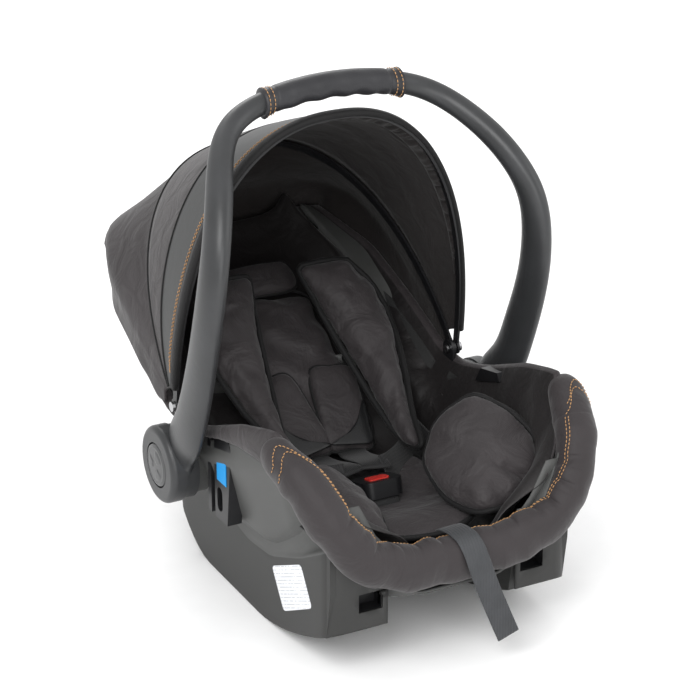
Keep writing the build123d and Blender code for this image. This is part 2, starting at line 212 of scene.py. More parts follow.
def leatherette(name, dark, light, rough=0.5):
    made, tree, shader, place = material(name, dark, light, rough, mottle=16, specular=0.4)
    cells = node_of(tree, "ShaderNodeTexVoronoi", Scale=650.0)
    tree.links.new(place, cells.inputs["Vector"])
    first = add_bump(tree, shader, noise_of(tree, place, Scale=60.0, Detail=3.0), 0.15, 0.003)
    add_bump(tree, shader, cells.outputs["Distance"], 0.22, 0.0006, first)
    return made


def ribbed(name, dark, light, across=(1, 0, 0), pitch=0.0024, rough=0.62):
    """Webbing: ribs a fixed pitch apart and fine cross threads."""
    made, tree, shader, place = material(name, dark, light, rough, mottle=40, sheen=0.15, specular=0.35)
    split = node_of(tree, "ShaderNodeVectorMath", operation="DOT_PRODUCT")
    split.inputs[1].default_value = across
    tree.links.new(place, split.inputs[0])
    wave = maths(tree, "SINE", maths(tree, "MULTIPLY", split.outputs["Value"], math.tau / pitch))
    first = add_bump(tree, shader, wave, 0.5, 0.0003)
    add_bump(tree, shader, noise_of(tree, place, Scale=1300.0, Detail=1.0), 0.35, 0.0004, first)
    return made


def label_film():
    """White film with plain grey rules and no lettering."""
    made, tree, shader, place = material("label_film", (0.74, 0.76, 0.79), (0.84, 0.85, 0.87), 0.5,
                                         specular=0.4)
    slope, spacing, half_line, gaps, darkness = 0.49, 0.0022, 0.0006, 0.45, 0.55
    axes = node_of(tree, "ShaderNodeSeparateXYZ")
    tree.links.new(place, axes.inputs[0])
    slant = maths(tree, "MULTIPLY_ADD", axes.outputs["Y"], slope, axes.outputs["Z"])
    is_line = maths(tree, "LESS_THAN", maths(tree, "PINGPONG", slant, spacing), half_line)
    worn = maths(tree, "GREATER_THAN", noise_of(tree, place, Scale=240.0, Detail=1.0), gaps)
    faint = maths(tree, "MULTIPLY", maths(tree, "MULTIPLY", is_line, worn), darkness)
    mix = node_of(tree, "ShaderNodeMixRGB")
    tree.links.new(faint, mix.inputs["Fac"])
    tree.links.new(shader.inputs["Base Color"].links[0].from_socket, mix.inputs["Color1"])
    mix.inputs["Color2"].default_value = (0.25, 0.26, 0.3, 1)
    tree.links.new(mix.outputs["Color"], shader.inputs["Base Color"])
    return made


def steel():
    made, tree, shader, place = material("plated_steel", (0.42, 0.42, 0.43), (0.55, 0.55, 0.56), 0.3,
                                         mottle=60)
    shader.inputs["Metallic"].default_value = 1.0
    add_bump(tree, shader, noise_of(tree, place, Scale=700.0, Detail=2.0), 0.1, 0.0003)
    return made


MAT = {
    "handle": plastic("handle_plastic", (0.024, 0.025, 0.026), (0.032, 0.033, 0.035), 0.38, 0.10, 0.45),
    "shell": plastic("shell_plastic", (0.056, 0.057, 0.055), (0.070, 0.071, 0.069), 0.5, 0.2, 0.4),
    # the base plastic is the shell's own plastic made darker: painted shade for the skirt's upright walls
    # below the lit shoulder
    "base": plastic("base_plastic", (0.022, 0.022, 0.021), (0.029, 0.029, 0.028), 0.5, 0.2, 0.4),
    "button": plastic("button_plastic", (0.050, 0.051, 0.052), (0.064, 0.065, 0.066), 0.35, 0.1, 0.45),
    "black": plastic("black_plastic", (0.006, 0.006, 0.007), (0.010, 0.010, 0.011), 0.38, 0.08, 0.45),
    "red": plastic("red_plastic", (0.52, 0.025, 0.02), (0.62, 0.04, 0.03), 0.25, 0.03, 0.5),
    "blue": plastic("blue_plastic", (0.0, 0.25, 0.62), (0.0, 0.29, 0.7), 0.45, 0.03, 0.4),
    "foam": plastic("liner_foam", (0.02, 0.02, 0.02), (0.03, 0.03, 0.03), 0.8, 0.5, 0.3),
    "outer": cloth("outer_fabric", (0.021, 0.0170, 0.0180), (0.029, 0.0240, 0.0255), 0.62, 0.14, 0.3, 0.3,
                   0.35),
    # the pad fabric's own tone, lifted lighter as painted light standing for the light that falls into the
    # seat's interior
    "pad": cloth("pad_fabric", (0.024, 0.0205, 0.0215), (0.034, 0.0290, 0.0305), 0.6, 0.12, 0.45, 0.6, 0.35),
    "lining": cloth("lining_fabric", (0.0085, 0.0070, 0.0072), (0.013, 0.0110, 0.0112), 0.5, 0.08, 0.2, 0.35,
                    0.4),
    "inside": cloth("canopy_lining", (0.012, 0.0095, 0.0092), (0.018, 0.0150, 0.0145), 0.8, 0.1, 0.35, 0.25),
    "binding": cloth("binding_tape", (0.004, 0.004, 0.004), (0.008, 0.0075, 0.008), 0.6, 0.05, 0.8, 0.1),
    "band": leatherette("canopy_band", (0.030, 0.031, 0.031), (0.044, 0.045, 0.045), 0.5),
    "grip": leatherette("grip_leatherette", (0.016, 0.016, 0.018), (0.026, 0.026, 0.029), 0.42),
    "patch": leatherette("patch_leatherette", (0.008, 0.008, 0.008), (0.013, 0.013, 0.014), 0.33),
    "webbing": ribbed("black_webbing", (0.006, 0.006, 0.006), (0.011, 0.011, 0.012)),
    "adjuster": ribbed("adjuster_webbing", (0.030, 0.032, 0.035), (0.044, 0.046, 0.050), (1, 0, 0), 0.0034),
    "thread": cloth("tan_thread", (0.36, 0.19, 0.075), (0.48, 0.27, 0.12), 0.6, 0.2, 0.4, 0.0),
    "label": label_film(),
    "steel": steel(),
}

# ---- mesh helpers ----

WELD = 1e-6             # metres; points nearer than this are one point


def declare(made, body, replaces):
    if body:
        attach(made, body)
    if replaces:
        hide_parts(*replaces)
    return made


def piece(name, points, faces, mats, body="shell", replaces=()):
    """A smooth mesh piece in the frame, riding on a body."""
    mesh = bpy.data.meshes.new(name)
    mesh.from_pydata([tuple(p) for p in points], [], faces)
    mesh.validate()
    mesh.update()
    made = bpy.data.objects.new(name, mesh)
    bpy.context.scene.collection.objects.link(made)
    for m in mats if isinstance(mats, (list, tuple)) else [mats]:
        mesh.materials.append(MAT[m])
    mesh.polygons.foreach_set("use_smooth", [True] * len(mesh.polygons))
    recalc(mesh)
    return declare(made, body, replaces)


def recalc(mesh, weld=False):
    """Turns every face outwards, first joining points that coincide where weld is set."""
    work = bmesh.new()
    work.from_mesh(mesh)
    if weld:
        bmesh.ops.remove_doubles(work, verts=work.verts, dist=WELD)
    bmesh.ops.recalc_face_normals(work, faces=work.faces)
    work.to_mesh(mesh)
    work.free()


def grid_faces(rows, cols, round_cols=False, round_rows=False, start=0):
    faces = []
    for i in range(rows if round_rows else rows - 1):
        for j in range(cols if round_cols else cols - 1):
            a = start + i * cols + j
            b = start + i * cols + (j + 1) % cols
            c = start + ((i + 1) % rows) * cols + (j + 1) % cols
            d = start + ((i + 1) % rows) * cols + j
            faces.append((a, b, c, d))
    return faces


def capped_faces(rows, around, start=0):
    """A closed tube of rings, with a flat face over each end."""
    first = tuple(start + k for k in range(around))
    last = tuple(start + (rows - 1) * around + k for k in range(around))
    return grid_faces(rows, around, round_cols=True, start=start) + [first[::-1], last]


def apply_modifiers(obj):
    """Bakes the modifiers into the mesh, keeping its materials."""
    graph = bpy.context.evaluated_depsgraph_get()
    graph.update()
    mesh = bpy.data.meshes.new_from_object(obj.evaluated_get(graph))
    old = obj.data
    obj.modifiers.clear()
    obj.data = mesh
    mesh.name = old.name
    bpy.data.meshes.remove(old)
    mesh.polygons.foreach_set("use_smooth", [True] * len(mesh.polygons))
    return obj


def thicken(obj, thick, inside_slot=0, offset=-1.0):
    mod = obj.modifiers.new("thick", "SOLIDIFY")
    mod.thickness = thick * MM
    mod.offset = offset
    mod.use_even_offset = False
    mod.material_offset = inside_slot
    return apply_modifiers(obj)


def subdivide(obj, levels=1):
    mod = obj.modifiers.new("round", "SUBSURF")
    mod.levels = levels
    mod.render_levels = levels
    return apply_modifiers(obj)


def run_lengths(points):
    """How far along the line each of its points lies."""
    lengths = [0.0]
    for a, b in zip(points, points[1:]):
        lengths.append(lengths[-1] + (b - a).length)
    return lengths


def curve_points(knots, count, closed=False):
    """Points along a smooth curve through the knots (Catmull-Rom), evenly spaced by length."""
    knots = [Vector(k) for k in knots]
    n = len(knots)
    dense = []
    spans = n if closed else n - 1
    for i in range(spans):
        if closed:
            p0, p1, p2, p3 = knots[i - 1], knots[i], knots[(i + 1) % n], knots[(i + 2) % n]
        else:
            p0, p1 = knots[max(i - 1, 0)], knots[i]
            p2, p3 = knots[i + 1], knots[min(i + 2, n - 1)]
        for s in range(16):
            t = s / 16
            dense.append(0.5 * (2 * p1 + (p2 - p0) * t + (2 * p0 - 5 * p1 + 4 * p2 - p3) * t * t
                                + (3 * p1 - p0 - 3 * p2 + p3) * t * t * t))
    dense.append(knots[0].copy() if closed else knots[-1].copy())
    lengths = run_lengths(dense)
    wanted = [lengths[-1] * i / (count if closed else count - 1) for i in range(count)]
    values = np.array([tuple(p) for p in dense])
    return [Vector([float(np.interp(w, lengths, values[:, k])) for k in range(3)]) for w in wanted]


def frames_along(points, closed=False):
    """Tangents and steady side and up directions along a line of points."""
    n = len(points)
    tangents = []
    for i in range(n):
        if closed:
            ahead, behind = points[(i + 1) % n], points[i - 1]
        else:
            ahead, behind = points[min(i + 1, n - 1)], points[max(i - 1, 0)]
        tangents.append((ahead - behind).normalized())
    side = tangents[0].orthogonal().normalized()
    out = []
    for t in tangents:
        side = (side - t * side.dot(t)).normalized()
        out.append((t, side, t.cross(side)))
    return out


def tube(name, points, radius, mat, body="shell", sides=10, closed=False, replaces=()):
    """A round bead along a line of points in the frame; radius in mm, one value or one each."""
    verts = []
    radii = radius if isinstance(radius, (list, tuple)) else [radius] * len(points)
    for p, r, (_, side, up) in zip(points, radii, frames_along(points, closed)):
        for k in range(sides):
            a = math.tau * k / sides
            verts.append(p + (side * math.cos(a) + up * math.sin(a)) * r * MM)
    if closed:
        faces = grid_faces(len(points), sides, round_cols=True, round_rows=True)
    else:
        faces = capped_faces(len(points), sides)
    return piece(name, verts, faces, mat, body, replaces)


def ribbon(name, points, sides_dir, wide, thick, mat, body="shell", replaces=()):
    """Flat webbing with rounded edges along a line; sides_dir points across it."""
    verts = []
    around = 16
    n = len(points)
    for i, p in enumerate(points):
        t = (points[min(i + 1, n - 1)] - points[max(i - 1, 0)]).normalized()
        s = Vector(sides_dir[i] if isinstance(sides_dir, list) else sides_dir)
        s = (s - t * s.dot(t)).normalized()
        up = t.cross(s)
        for k in range(around):
            a = math.tau * k / around
            c, d = math.cos(a), math.sin(a)
            w = math.copysign(abs(c) ** 0.25, c) * wide / 2
            h = math.copysign(abs(d) ** 0.5, d) * thick / 2
            verts.append(p + (s * w + up * h) * MM)
    return piece(name, verts, capped_faces(n, around), mat, body, replaces)


STITCH, STITCH_GAP = 3.6, 1.3
# (share along a stitch, share of its radius, lift off the cloth in mm)
STITCH_RINGS = ((0.0, 0.35, -0.1), (0.25, 1.0, 0.3), (0.75, 1.0, 0.3), (1.0, 0.35, -0.1))
STITCH_SIDES = 6


def stitches(name, lines, body="shell", radius=0.55):
    """Dashes of thread along lines of (points, normals), each a slim rounded bead."""
    verts, faces = [], []
    for points, normals in lines:
        lengths = run_lengths(points)
        track = np.array([tuple(p) for p in points])
        upward = np.array([tuple(n) for n in normals])

        def where(s):
            p = Vector([float(np.interp(s, lengths, track[:, k])) for k in range(3)])
            n = Vector([float(np.interp(s, lengths, upward[:, k])) for k in range(3)])
            return p, n.normalized()

        s = 0.0
        while s + STITCH * MM < lengths[-1]:
            (p, n), (q, _) = where(s), where(s + STITCH * MM)
            t = (q - p).normalized()
            side = t.cross(n)
            base = len(verts)
            for f, r, lift in STITCH_RINGS:
                centre = p.lerp(q, f) + n * lift * MM
                for k in range(STITCH_SIDES):
                    a = math.tau * k / STITCH_SIDES
                    verts.append(centre + (side * math.cos(a) + n * math.sin(a)) * radius * r * MM)
            faces += capped_faces(len(STITCH_RINGS), STITCH_SIDES, base)
            s += (STITCH + STITCH_GAP) * MM
    return piece(name, verts, faces, "thread", body)


def wobble(p, size, amount, seed=0.0):
    """Soft noise displacement in mm at a place given in mm."""
    return amount * noise.noise(Vector((p[0] / size + seed, p[1] / size - seed, p[2] / size + 2 * seed)))


def mirror_piece(obj, name, body="shell", replaces=()):
    """The same piece on the other side of the middle plane."""
    mesh = obj.data.copy()
    mesh.name = name
    for v in mesh.vertices:
        v.co.x = 2 * PIVOT.x - v.co.x
    mesh.flip_normals()
    made = bpy.data.objects.new(name, mesh)
    bpy.context.scene.collection.objects.link(made)
    return declare(made, body, replaces)


SWELL_STEPS = 20


def swell(obj, cap, pressure=4.0, voxel=5.0):
    """Blows a pad up as cloth, so that its skin wrinkles, and caps how far it may move."""
    mod = obj.modifiers.new("remesh", "REMESH")
    mod.mode = "VOXEL"
    mod.voxel_size = voxel * MM
    apply_modifiers(obj)
    start = np.array([tuple(v.co) for v in obj.data.vertices])
    sim = obj.modifiers.new("cloth", "CLOTH")
    sim.settings.use_pressure = True
    sim.settings.uniform_pressure_force = pressure
    sim.settings.effector_weights.gravity = 0.0
    sim.settings.quality = 5
    scene = bpy.context.scene
    for step in range(1, SWELL_STEPS + 1):
        scene.frame_set(step)
    apply_modifiers(obj)
    scene.frame_set(1)
    for v, s in zip(obj.data.vertices, start):
        move = v.co - Vector(s)
        if move.length > cap * MM:
            v.co = Vector(s) + move * (cap * MM / move.length)
    return subdivide(obj)


# ---- shell and base ----

SHELL_FOOT, SHELL_HEAD = -318, 303      # where the shell ends along y
RIM_DROP_Y = -234                       # footwards of this the rim drops to the roll
# (y, half width at rim, rim height, half width at floor, floor height)
SHELL = [(-318, 130, 62, 70, -58), (-290, 164, 96, 80, -76), (-240, 180, 112, 134, -84),
         (-160, 185, 86, 148, -80), (-60, 186, 50, 152, -78), (-5, 186, 42, 151, -74),
         (40, 186, 44, 150, -42), (130, 184, 84, 146, 18), (220, 176, 124, 134, 84),
         (300, 142, 156, 110, 128)]
# (y, height) of the front rim, where it drops from the shoulders to the middle
FRONT_RIM = [(-318, 6), (-308, 42), (-284, 76), (-246, 99), (-234, 112)]


def table(rows, y, column=1):
    return float(np.interp(y, [r[0] for r in rows], [r[column] for r in rows]))


def shell_at(y):
    """Rim half width, rim height, floor half width and floor height at y, softened between stations."""
    out = [sum(table(SHELL, y + off, k) for off in (-12, -4, 4, 12)) / 4 for k in (1, 2, 3, 4)]
    if y < RIM_DROP_Y:
        top = min(out[1], table(FRONT_RIM, y))
        out[0] = lerp(out[0], out[2], (out[1] - top) / (out[1] - out[3]))
        out[1] = top
    return out


def bulge(y, z):
    """How far the seat bowl swells out of the shell's side, with a crisp U-shaped lower edge."""
    foot = -60 + 115 * max(0.0, (-y - 100) / 184) ** 2.0 if y < -100 else -60 + 0.12 * (y + 100) ** 1.0
    edge = smooth((z - foot) / 12)
    along = smooth((y + 292) / 40) * smooth((30 - y) / 40)
    return 9.0 * edge * along


def make_shell():
    """The seat shell as one moulding: walls down to a rounded corner, then in to the floor."""
    count, half = 190, 40
    cols = 2 * half + 1
    wall_share = 0.6
    verts = []
    for i in range(count):
        y = lerp(SHELL_FOOT, SHELL_HEAD, i / (count - 1))
        rim_w, rim_z, floor_w, floor_z = shell_at(y)
        right = []
        for j in range(half + 1):
            f = j / half
            if f < wall_share:
                g = f / wall_share
                x, z = lerp(rim_w, floor_w + 6, g), lerp(rim_z, floor_z + 40, g)
                x += bulge(y, z) * smooth(g * 4)
            else:
                g = (f - wall_share) / (1 - wall_share) * 1.6
                turn = min(1.0, g) * math.pi / 2
                z = floor_z + 40 * (1 - math.sin(turn)) if g < 1 else floor_z
                edge = floor_w + 6 - 36 * (1 - math.cos(turn))
                x = edge if g < 1 else lerp(floor_w - 30, 0, (g - 1) / 0.6)
                z = min(z, rim_z - 3)
            right.append((x, z))
        line = [(-x, z) for x, z in right] + [(x, z) for x, z in reversed(right[:-1])]
        verts += [at(x, y, z) for x, z in line]
    made = piece("shell_moulding", verts, grid_faces(count, cols), "shell", "shell",
                 ("seat_shell",))
    thicken(made, SHELL_WALL, offset=1.0)


SHELL_WALL = 3.5
GROUND = -152           # the flat middle of the runners, where the base stands
RUNNER_X, RUNNER_FRONT, RUNNER_REAR = 154.5, -303, 99
FRONT_CORNER, REAR_CORNER = 20.5, 15
FOOT_SLOT_LOW, FOOT_SLOT_HIGH = -74.0, -51.0


def runner_low(y):
    """Height of the runner's lower edge, which rises towards both ends."""
    if y < -125:
        return GROUND + 51 * ((-125 - y) / 167) ** 1.6
    if y > 5:
        return GROUND + 52 * ((y - 5) / 92) ** 2.2
    return GROUND


# (y, height) of the step where the runner's wall meets the shell
LEDGE = [(-303, 12), (-234, -28), (-160, -60), (-103, -66), (-33, -56), (60, -40), (99, -8)]


def runner_plan():
    """Outer wall of the left runner seen from above, from the foot end's inner corner to the rear."""
    corner_x, corner_y = -RUNNER_X + FRONT_CORNER, RUNNER_FRONT + FRONT_CORNER
    out = [(x, RUNNER_FRONT) for x in (-82, -88, -98, -108, -118, -128, corner_x)]
    for i in range(1, 7):
        a = math.pi / 2 * i / 7
        out.append((corner_x - FRONT_CORNER * math.sin(a), RUNNER_FRONT + FRONT_CORNER * (1 - math.cos(a))))
    rear_y = RUNNER_REAR - REAR_CORNER
    out += [(-RUNNER_X, lerp(corner_y + 0.5, rear_y, i / 26)) for i in range(27)]
    for i in range(1, 6):
        a = math.pi / 2 * i / 5
        out.append((-140.5 - 14 * math.cos(a), rear_y + REAR_CORNER * math.sin(a)))
    out += [(-120, RUNNER_REAR), (-82, RUNNER_REAR)]
    return out


def bowl_wall(y, z):
    """Outer half width of the seat bowl at a height, or nothing below its floor."""
    rim_w, rim_z, floor_w, floor_z = shell_at(y)
    if z < floor_z:
        return 0.0
    return lerp(floor_w, rim_w, min(1.0, (z - floor_z) / (rim_z - floor_z)))


def make_base_skin():
    """The two runners' outer walls with a foot slot in each, and a sloping shoulder up to the shell."""
    heights = [0.0, 0.03, 0.12, 0.25, 0.36, 0.5, 0.72, 0.9, 0.985]
    slot_heights = {0.25: FOOT_SLOT_LOW, 0.36: (FOOT_SLOT_LOW + FOOT_SLOT_HIGH) / 2, 0.5: FOOT_SLOT_HIGH}
    plan = runner_plan()
    cols = len(heights) + 6
    verts = []
    for x, y in plan:
        low, top = runner_low(y) + 0.6, table(LEDGE, y)
        front = y < -290
        if y < -302:
            top = min(top, lerp(-46, 6, min(1.0, max(0.0, (abs(x) - 92) / 26))))
        for f in heights:
            z = lerp(low, top, f)
            if front and f in slot_heights:
                z = min(slot_heights[f], top - 3 + 3 * f)
            verts.append(at(x, y, z))
        for into, rise in ((1.0, 1.5), (4, 4), (10, 10), (18, 20), (26, 36), (30, 52)):
            z = top + rise
            across = max(abs(x) - into, bowl_wall(y, z) + 0.6) if y < 90 else abs(x) - into
            verts.append(at(-min(abs(x), across), y, z))
    faces = []
    for i, (x, y) in enumerate(plan[:-1]):
        for j in range(cols - 1):
            slot_here = y < -302 and -118.5 < plan[i + 1][0] and x < -87 and 3 <= j <= 4
            if not slot_here:
                faces.append((i * cols + j, (i + 1) * cols + j, (i + 1) * cols + j + 1, i * cols + j + 1))
    # one plastic in two tones: the upright walls take the darker base copy as painted shade, and the top rows
    # up to the shell take the lighter shell copy
    left = piece("left_skirt", verts, faces, "base")
    left.data.materials.append(MAT["shell"])
    for face in left.data.polygons:
        if min(face.vertices[k] % cols for k in range(4)) >= len(heights) - 1:
            face.material_index = 1
    thicken(left, 2.0, offset=-1.0)
    mirror_piece(left, "right_skirt", "shell")
    for side, word in ((-1, "left"), (1, "right")):
        mouth = ((89, -73.5), (118, -73.5), (118, -51.5), (89, -51.5))
        lined = [at(side * x, y, z) for y in (-300.5, -284) for x, z in mouth]
        box = [(0, 1, 5, 4), (1, 2, 6, 5), (2, 3, 7, 6), (3, 0, 4, 7), (4, 5, 6, 7)]
        # the pocket behind each foot slot is lined in black plastic as painted shade inside the recess
        pocket = piece(f"{word}_foot_pocket", lined, box, "black")
        pocket.data.polygons.foreach_set("use_smooth", [False] * len(box))


def make_label():
    """The film label on the left skirt: a leaning panel with rounded corners."""
    corners = [(-163, -72), (-235, -36), (-262, -78), (-192, -116)]
    rim = []
    for k, (y, z) in enumerate(corners):
        before, after = Vector(corners[k - 1]), Vector(corners[(k + 1) % 4])
        here = Vector((y, z))
        start = here + (before - here).normalized() * 6
        end = here + (after - here).normalized() * 6
        for t in (0.0, 0.25, 0.5, 0.75, 1.0):
            rim.append(start.lerp(here, t).lerp(here.lerp(end, t), t))
    verts = [at(-155.2, y, z) for y, z in rim] + [at(-154.6, y, z) for y, z in rim]
    n = len(rim)
    faces = [tuple(range(n)), tuple(range(n, 2 * n))[::-1]]
    faces += [(k, (k + 1) % n, n + (k + 1) % n, n + k) for k in range(n)]
    made = piece("side_label", verts, faces, "label", "shell", ("left_label",))
    made.data.polygons.foreach_set("use_smooth", [False] * len(faces))


make_shell()
make_base_skin()
make_label()

# ---- canopy ----

CANOPY_Y, CANOPY_Z = 20.0, 60.0         # the axis through both canopy pins
FRONT_TILT, MID_TILT, REAR_TILT = -7.2, 42.0, 72.0
FRONT_HALF, FRONT_REACH = 193.5, 345    # half width and height of the cloth over the front hoop
MID_HALF, MID_REACH = 190, 317.5
ROOF = 317                              # reach that heights on the canopy are a share of
RIDGE = 0.85                            # share of the rear panel from the mid hoop to the squarer ridge
ARCH_POWER = 2.35                       # 2 would be an ellipse; more is squarer
ARCH_COLS = 97
CLOTH_THICK = 2.2


def canopy_at(x, s, tilt):
    """A place on the canopy: across, out from its pivot axis, and leaning back by tilt degrees."""
    lean = math.radians(tilt)
    return at(x, CANOPY_Y + s * math.sin(lean), CANOPY_Z + s * math.cos(lean))


def arch(half, reach, power, psi):
    c, d = math.cos(psi), math.sin(psi)
    return half * math.copysign(abs(c) ** (2 / power), c), reach * d ** (2 / power)


def arch_line(half, reach, power):
    """The same arch as points a fixed share of its length apart, from the right foot to the left one."""
    psi = np.concatenate([np.linspace(0, 0.05, 60)[:-1], np.linspace(0.05, math.pi / 2, 260)])
    x = half * np.cos(psi) ** (2 / power)
    s = reach * np.sin(psi) ** (2 / power)
    x[-1] = 0
    x = np.concatenate([x, -x[-2::-1]])
    s = np.concatenate([s, s[-2::-1]])
    share = np.concatenate([[0], np.cumsum(np.hypot(np.diff(x), np.diff(s)))])
    return x, s, share / share[-1]


LINES = {}
FOOT_SHARE = 0.028      # share of each arch left bare at its foot, where the hoop runs down to its pin


def arch_at(half, reach, power, q):
    key = (round(half, 2), round(reach, 2), round(power, 3))
    if key not in LINES:
        LINES[key] = arch_line(*key)
    x, s, share = LINES[key]
    return float(np.interp(q, share, x)), float(np.interp(q, share, s))


def height_share(q):
    """How high a place on the arch is, as a share of its reach."""
    return arch_at(MID_HALF, ROOF, ARCH_POWER, q)[1] / ROOF


def band_edge(q):
    """Tilt of the piped seam behind the leatherette band: further back towards the feet."""
    return lerp(16.0, 36.0, (1 - height_share(q)) ** 1.9)


def taut(tilt, before, after):
    """Reach of a straight chord between two hoops, as a share of an arc's reach at the same tilt."""
    (reach_a, tilt_a), (reach_b, tilt_b) = before, after
    ahead, back = math.radians(tilt - tilt_a), math.radians(tilt_b - tilt)
    across = reach_a * math.sin(ahead) + reach_b * math.sin(back)
    chord = reach_a * reach_b * math.sin(ahead + back) / across
    return chord / lerp(reach_a, reach_b, (tilt - tilt_a) / (tilt_b - tilt_a))


def taut_front(tilt):
    return taut(tilt, (FRONT_REACH, FRONT_TILT), (MID_REACH, MID_TILT))


def front_cloth(q, tilt):
    """Across and out from the pivot axis on the front panel, drawn in along the piped seam."""
    f = (tilt - FRONT_TILT) / (MID_TILT - FRONT_TILT)
    groove = -1.6 * math.exp(-((tilt - band_edge(q)) / 1.6) ** 2)
    x, s = arch_at(lerp(FRONT_HALF, MID_HALF, f), lerp(FRONT_REACH, MID_REACH, f), ARCH_POWER, q)
    pulled = 1 + 0.8 * (taut_front(tilt) - 1)
    grow = 1 + groove * height_share(q) / 330
    return x * grow, s * grow * pulled


def front_tilts(q):
    """Row tilts across the front panel, with a row line along the piped seam."""
    edge = band_edge(q)
    first = [lerp(FRONT_TILT + 0.4, edge, i / 10) for i in range(11)]
    second = [lerp(edge, MID_TILT, i / 9) for i in range(1, 10)]
    return first + second


def rear_cloth(q, f):
    """Behind the mid hoop: dips, rises to a squarer ridge and its hem follows the shell's rim."""
    tilt = lerp(MID_TILT, REAR_TILT, min(1.0, f / RIDGE))
    dip = -9 * math.sin(math.pi * f / 0.6) if f < 0.6 else 0
    power = ARCH_POWER + 4.8 * min(1.0, f / RIDGE) ** 1.4
    ridge = 6 * smooth((f - 0.35) / 0.4) - 9 * smooth((f - RIDGE) / (1 - RIDGE))
    x, s = arch_at(lerp(MID_HALF, 191, f), MID_REACH + ridge, power, q)
    gather = math.sin(q * 170 + 2.0 * math.sin(q * 31)) * 1.3 * smooth((f - 0.55) / 0.45)
    sag = 2.0 * math.sin(math.pi * f) * math.sin(q * 22.0 + 4 * f)
    grow = 1 + ((gather + sag) * min(1.0, s / 120) + dip * s / ROOF) / ROOF
    x, s = x * grow, s * grow
    lean = math.radians(tilt)
    y, z = CANOPY_Y + s * math.sin(lean), CANOPY_Z + s * math.cos(lean)
    if f > 0.5:
        rim_w, rim_z, _, _ = shell_at(min(y, 296))
        narrow = min(abs(x), rim_w + 7)
        x = math.copysign(lerp(abs(x), narrow, smooth((f - 0.5) / 0.35)), x)
        drop = smooth((f - RIDGE) / (1 - RIDGE))
        hem = rim_z - lerp(1, 10, smooth((y - 130) / 90))
        z = lerp(z, lerp(z, hem, smooth((y - 20) / 50)), drop)
        y = lerp(y, min(y, 310), drop)
    return at(x, y, z)


def blend_front(obj):
    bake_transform(obj)


def blend_rear(obj):
    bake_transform(obj)


def make_canopy_front():
    rows = 20
    verts = []
    for i in range(rows):
        for j in range(ARCH_COLS):
            q = lerp(FOOT_SHARE, 1 - FOOT_SHARE, j / (ARCH_COLS - 1))
            tilt = front_tilts(q)[i]
            x, s = front_cloth(q, tilt)
            verts.append(canopy_at(x, s, tilt))
    made = piece("canopy_front_cloth", verts, grid_faces(rows, ARCH_COLS),
                 ["outer", "band", "inside", "inside"], None)
    for k, face in enumerate(made.data.polygons):
        face.material_index = 1 if k // (ARCH_COLS - 1) < 10 else 0
    thicken(made, CLOTH_THICK, inside_slot=2)
    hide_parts("canopy_front_panel")
    blend_front(made)


def make_canopy_rear():
    rows, cols = 30, ARCH_COLS * 2 - 1
    verts = []
    for i in range(rows):
        for j in range(cols):
            q = lerp(FOOT_SHARE, 1 - FOOT_SHARE, j / (cols - 1))
            verts.append(rear_cloth(q, i / (rows - 1)))
    made = piece("canopy_rear_cloth", verts, grid_faces(rows, cols), ["outer", "inside"],
                 None)
    thicken(made, CLOTH_THICK, inside_slot=1)
    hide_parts("canopy_rear_panel")
    blend_rear(made)


def make_canopy_trim():
    """Piping along the two seams and the rows of stitching behind the front hoop."""
    def along(tilt_of, lift, count=170, first=FOOT_SHARE + 0.002):
        points, normals = [], []
        for i in range(count):
            q = lerp(first, 1 - first, i / (count - 1))
            tilt = tilt_of(q)
            x, s = front_cloth(q, tilt)
            p = canopy_at(x, s, tilt)
            out = p - canopy_at(0, 60, tilt)
            out = Vector((out.x * 1.3, out.y, out.z)).normalized()
            points.append(p + out * lift * MM)
            normals.append(out)
        return points, normals

    def behind(mm_back):
        def tilt_of(q):
            _, s = front_cloth(q, 0)
            return FRONT_TILT + 0.4 + min(math.degrees(mm_back / max(s, 30)), 10 + mm_back * 0.3)
        return tilt_of

    seam, _ = along(band_edge, 0.2)
    blend_front(tube("band_piping", seam, 1.5, "binding", None, 8))
    mid, _ = along(lambda q: MID_TILT, 0.2)
    tube("mid_piping", mid, 1.6, "binding", "mid_hoop", 8)
    two_rows = [along(behind(13), 0.2, first=0.05), along(behind(17), 0.2, first=0.05)]
    blend_front(stitches("band_stitching", two_rows, None))


def make_hoop_casing():
    """A rounded cloth sleeve round the front hoop."""
    verts = []
    count, around = 150, 14
    lean = math.radians(FRONT_TILT)
    backward = Vector((0, math.cos(lean), -math.sin(lean)))
    for i in range(count):
        psi = lerp(0.046, math.pi - 0.046, i / (count - 1))
        x, s = arch(191.5, 342.5, ARCH_POWER, psi)
        for k in range(around):
            a = math.tau * k / around
            across = 7.0 * math.copysign(abs(math.cos(a)) ** 0.7, math.cos(a))
            deep = 4.4 * math.copysign(abs(math.sin(a)) ** 0.8, math.sin(a))
            r = 1 + deep / math.hypot(x, s)
            p = canopy_at(x * r, s * r, FRONT_TILT)
            verts.append(p + backward * across * MM)
    piece("hoop_casing", verts, capped_faces(count, around), "binding", "front_hoop")


